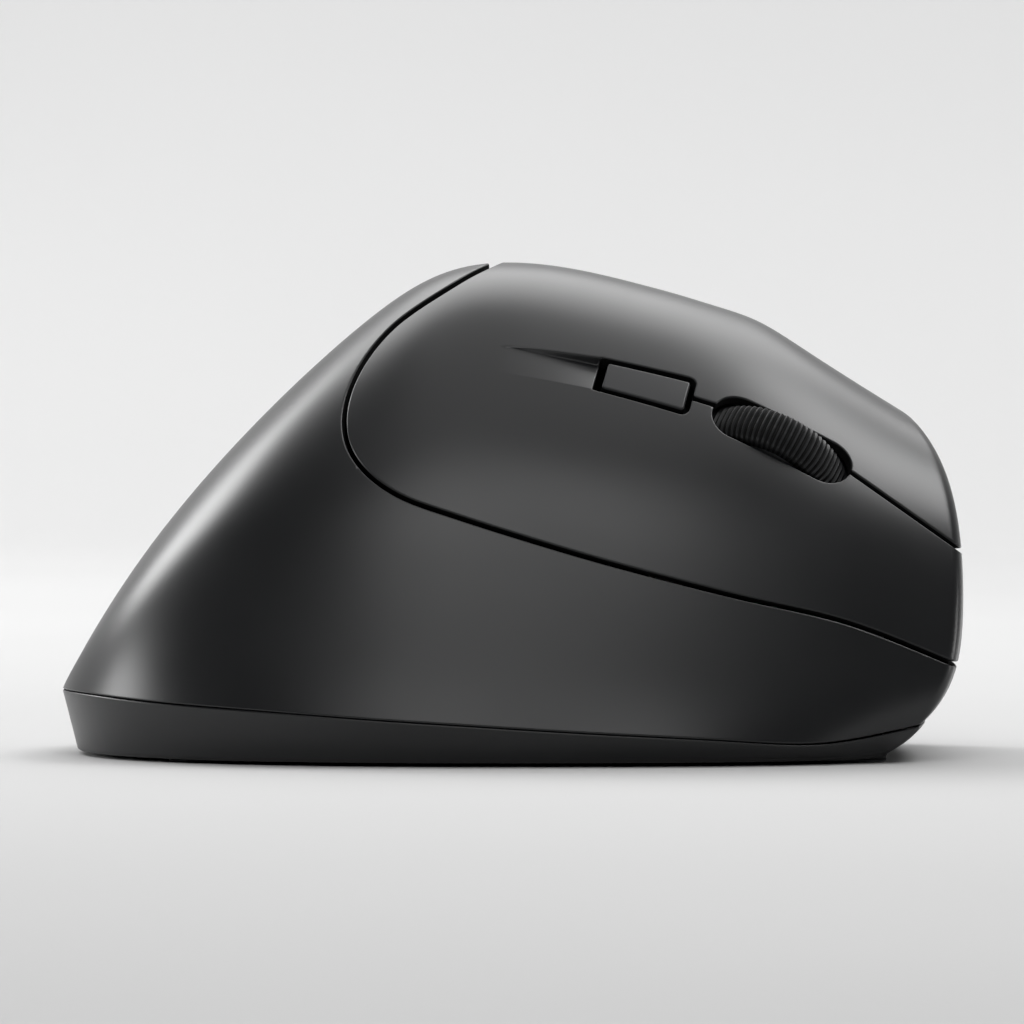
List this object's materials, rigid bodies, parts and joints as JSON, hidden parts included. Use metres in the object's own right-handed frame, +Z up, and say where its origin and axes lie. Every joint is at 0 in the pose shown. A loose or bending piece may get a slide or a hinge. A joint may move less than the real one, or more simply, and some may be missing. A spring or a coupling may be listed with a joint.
{
  "type": "vertical ergonomic mouse",
  "caption": "Right-handed vertical mouse with a palm hump, a finger panel split into two button leaves around a ribbed scroll wheel, a pointer-speed key and thumb buttons.",
  "frame": {"origin": "middle of the bounding box, on the desk under the feet", "axes": "+X to the nose, +Y to the thumb side, +Z up"},
  "size_m": [0.121, 0.0779, 0.0661],
  "materials": {
    "soft_shell": "near-black soft-touch coat",
    "thumb_grip": "near-black moulded plastic with a fine grain",
    "key_black": "black satin plastic",
    "base_black": "black satin plastic",
    "tyre_rubber": "ribbed black rubber",
    "inner_black": "black engineering plastic",
    "inner_grey": "grey engineering plastic",
    "plunger_white": "white plastic",
    "foot_black": "slick dark plastic",
    "steel": "bright steel",
    "screw_steel": "dark plated steel",
    "board": "green solder mask",
    "chip": "black chip resin",
    "lens": "clear moulded lens",
    "ribbon": "pale flat cable",
    "battery_can": "plain grey wrapped can"
  },
  "bodies": {
    "base": {"palm_shell": "soft_shell", "finger_panel": "soft_shell", "thumb_panel": "thumb_grip", "cradle_pin": "steel", "chassis": "inner_black", "button_board": "board", "index_switch": "inner_black", "middle_switch": "inner_black", "dpi_switch": "inner_grey", "wheel_switch": "inner_grey", "thumb_board": "board", "thumb_switches": "inner_grey", "base_case": "base_black", "front_feet": "foot_black", "rear_feet": "foot_black", "main_board": "board", "sensor_chip": "chip", "sensor_lens": "lens", "controller_chip": "chip", "ribbon_cable": "ribbon", "power_switch": "inner_grey", "battery": "battery_can", "battery_spring": "steel", "battery_plate": "steel", "case_screws": "screw_steel", "chassis_screws": "screw_steel", "board_screws": "screw_steel"},
    "index_button": {"index_button": "soft_shell"},
    "index_plunger": {"index_plunger": "plunger_white"},
    "middle_button": {"middle_button": "soft_shell"},
    "middle_plunger": {"middle_plunger": "plunger_white"},
    "dpi_button": {"dpi_button": "key_black"},
    "dpi_plunger": {"dpi_plunger": "plunger_white"},
    "forward_button": {"forward_button": "key_black"},
    "forward_plunger": {"forward_plunger": "plunger_white"},
    "back_button": {"back_button": "key_black"},
    "back_plunger": {"back_plunger": "plunger_white"},
    "wheel_cradle": {"wheel_cradle": "inner_black", "wheel_encoder": "inner_grey"},
    "wheel": {"wheel_tyre": "tyre_rubber", "wheel_hub": "inner_grey", "wheel_axle": "steel"},
    "wheel_plunger": {"wheel_plunger": "plunger_white"},
    "power_slider": {"power_slider": "inner_grey"},
    "battery_door": {"battery_door": "base_black"},
    "receiver": {"receiver_cap": "base_black", "receiver_plug": "steel"}
  },
  "joints": [
    {"name": "index_press", "type": "hinge", "parent": "base", "child": "index_button", "pos_m": [0.013, -0.0114, 0.053], "axis": [0, 0.7071, 0.7071], "range_deg": [0, 0.45], "stiffness_Nm_per_rad": 0.9},
    {"name": "index_click", "type": "slide", "parent": "base", "child": "index_plunger", "axis": [-0.278, 0.7083, -0.6489], "range_m": [0, 0.00029]},
    {"name": "middle_press", "type": "hinge", "parent": "base", "child": "middle_button", "pos_m": [0.013, -0.0174, 0.0472], "axis": [0, 0.5, 0.866], "range_deg": [0, 0.65], "stiffness_Nm_per_rad": 0.9},
    {"name": "middle_click", "type": "slide", "parent": "base", "child": "middle_plunger", "axis": [-0.278, 0.7083, -0.6489], "range_m": [0, 0.00029]},
    {"name": "dpi_press", "type": "slide", "parent": "base", "child": "dpi_button", "axis": [-0.1445, 0.7043, -0.695], "range_m": [0, 0.00035], "stiffness_N_per_m": 1200},
    {"name": "dpi_click", "type": "slide", "parent": "base", "child": "dpi_plunger", "axis": [-0.278, 0.7083, -0.6489], "range_m": [0, 0.0004]},
    {"name": "forward_press", "type": "slide", "parent": "base", "child": "forward_button", "axis": [0, -1, 0], "range_m": [0, 0.0004], "stiffness_N_per_m": 1200},
    {"name": "forward_click", "type": "slide", "parent": "base", "child": "forward_plunger", "axis": [0, -1, 0], "range_m": [0, 0.00045]},
    {"name": "back_press", "type": "slide", "parent": "base", "child": "back_button", "axis": [0, -1, 0], "range_m": [0, 0.0004], "stiffness_N_per_m": 1200},
    {"name": "back_click", "type": "slide", "parent": "base", "child": "back_plunger", "axis": [0, -1, 0], "range_m": [0, 0.00045]},
    {"name": "wheel_press", "type": "hinge", "parent": "base", "child": "wheel_cradle", "pos_m": [0.01996, -0.00878, 0.04252], "axis": [0.3457, 0.704, 0.6203], "range_deg": [0, 0.55], "stiffness_Nm_per_rad": 1.5},
    {"name": "wheel_spin", "type": "hinge", "parent": "wheel_cradle", "child": "wheel", "pos_m": [0.03313, -0.00954, 0.03604], "axis": [0.3457, 0.704, 0.6203], "continuous": true},
    {"name": "wheel_click", "type": "slide", "parent": "base", "child": "wheel_plunger", "axis": [-0.278, 0.7083, -0.6489], "range_m": [0, 0.00032]},
    {"name": "power_slide", "type": "slide", "parent": "base", "child": "power_slider", "axis": [1, 0, 0], "range_m": [0, 0.003]},
    {"name": "battery_door_hinge", "type": "hinge", "parent": "base", "child": "battery_door", "pos_m": [0.0052, 0.004, 0.0005], "axis": [0, -1, 0], "range_deg": [0, 75]},
    {"name": "receiver_pull", "type": "slide", "parent": "base", "child": "receiver", "axis": [0, 0, -1], "range_m": [0, 0.016]}
  ],
  "couplings": [
    {"joint": "index_click", "follows": "index_press", "m_per_rad": 0.0328},
    {"joint": "middle_click", "follows": "middle_press", "m_per_rad": 0.0227},
    {"joint": "dpi_click", "follows": "dpi_press", "ratio": 0.99},
    {"joint": "forward_click", "follows": "forward_press", "ratio": 1},
    {"joint": "back_click", "follows": "back_press", "ratio": 1},
    {"joint": "wheel_click", "follows": "wheel_press", "m_per_rad": 0.0298}
  ]
}
